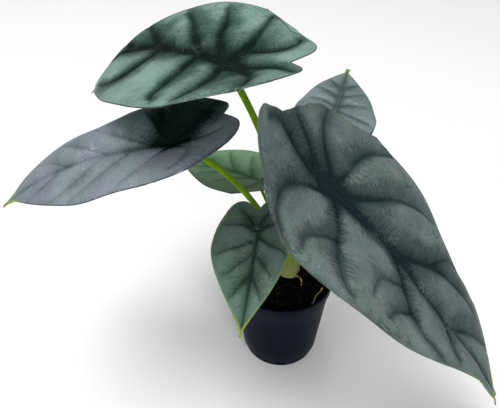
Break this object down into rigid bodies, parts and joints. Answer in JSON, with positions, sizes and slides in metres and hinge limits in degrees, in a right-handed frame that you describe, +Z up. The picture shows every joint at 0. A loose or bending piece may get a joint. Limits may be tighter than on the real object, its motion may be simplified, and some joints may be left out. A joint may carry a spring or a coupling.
{
  "type": "potted alocasia",
  "caption": "Live alocasia with large puckered arrow-shaped leaves on slender stalks, rooted in soil in a small tapered round nursery pot.",
  "frame": {"origin": "centre of the pot's flat underside, on the surface it stands on", "axes": "+Z up; -Y towards the front, where the large drooping leaf hangs to the right; +X to the right"},
  "size_m": [0.4057, 0.3297, 0.3071],
  "materials": {
    "pot": "thin blue-black moulded plastic, satin",
    "soil": "dark damp potting soil with fine fibres",
    "stem_base": "pale smooth living stem, cream at the soil and yellow-green above",
    "petiole": "lime-green living leaf stalk, slightly waxy",
    "root": "dry cream-coloured root",
    "perlite": "rough white mineral grain",
    "bark": "rough bark",
    "leaf_top_left": "puckered silvery grey-green blade with sunken dark veins, low sheen",
    "leaf_left": "puckered silvery grey-green blade with sunken dark veins, low sheen",
    "leaf_front_right": "puckered silvery grey-green blade with sunken dark veins, low sheen",
    "leaf_back_right": "puckered silvery grey-green blade with sunken dark veins, low sheen",
    "leaf_back_left": "puckered silvery grey-green blade with sunken dark veins, low sheen",
    "leaf_front": "puckered silvery grey-green blade with sunken dark veins, low sheen"
  },
  "bodies": {
    "root": {"pot": "pot", "soil": "soil", "stem_base": "stem_base", "petiole_top_left": "petiole", "petiole_left": "petiole", "petiole_front_right": "petiole", "petiole_back_right": "petiole", "petiole_back_left": "petiole", "petiole_front": "petiole", "leaf_top_left": "leaf_top_left", "leaf_left": "leaf_left", "leaf_front_right": "leaf_front_right", "leaf_back_right": "leaf_back_right", "leaf_back_left": "leaf_back_left", "leaf_front": "leaf_front", "stem_root": "root", "rim_root": "root", "perlite_grain": "perlite", "bark_chip": "bark"}
  },
  "joints": []
}
